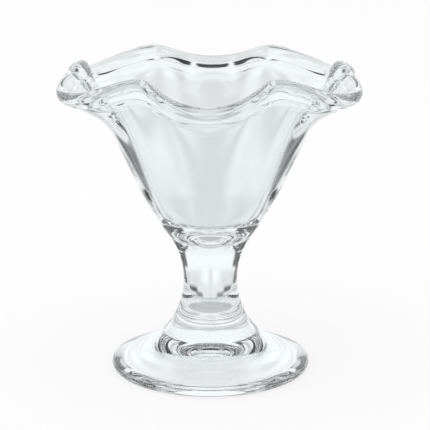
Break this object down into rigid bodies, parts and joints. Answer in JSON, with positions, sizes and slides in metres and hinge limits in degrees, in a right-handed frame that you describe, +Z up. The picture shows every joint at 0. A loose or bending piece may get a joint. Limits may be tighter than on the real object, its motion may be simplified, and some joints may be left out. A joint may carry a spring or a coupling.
{
  "type": "parfait glass",
  "caption": "Clear footed dessert glass: flared bowl with a wavy, pointed rim and round lip, short waisted stem, wide round foot hollowed underneath.",
  "frame": {"origin": "centre of the face that the glass stands on", "axes": "+Z up along the axis of the stem; +X through one raised point of the rim"},
  "size_m": [0.1068, 0.1158, 0.115],
  "materials": {
    "bowl_glass": "fire-polished clear soda-lime glass, very slight green-blue cast",
    "stem_glass": "fire-polished clear soda-lime glass, very slight green-blue cast",
    "foot_glass": "fire-polished clear soda-lime glass, very slight green-blue cast"
  },
  "bodies": {
    "root": {"bowl": "bowl_glass", "stem": "stem_glass", "foot": "foot_glass"}
  },
  "joints": []
}
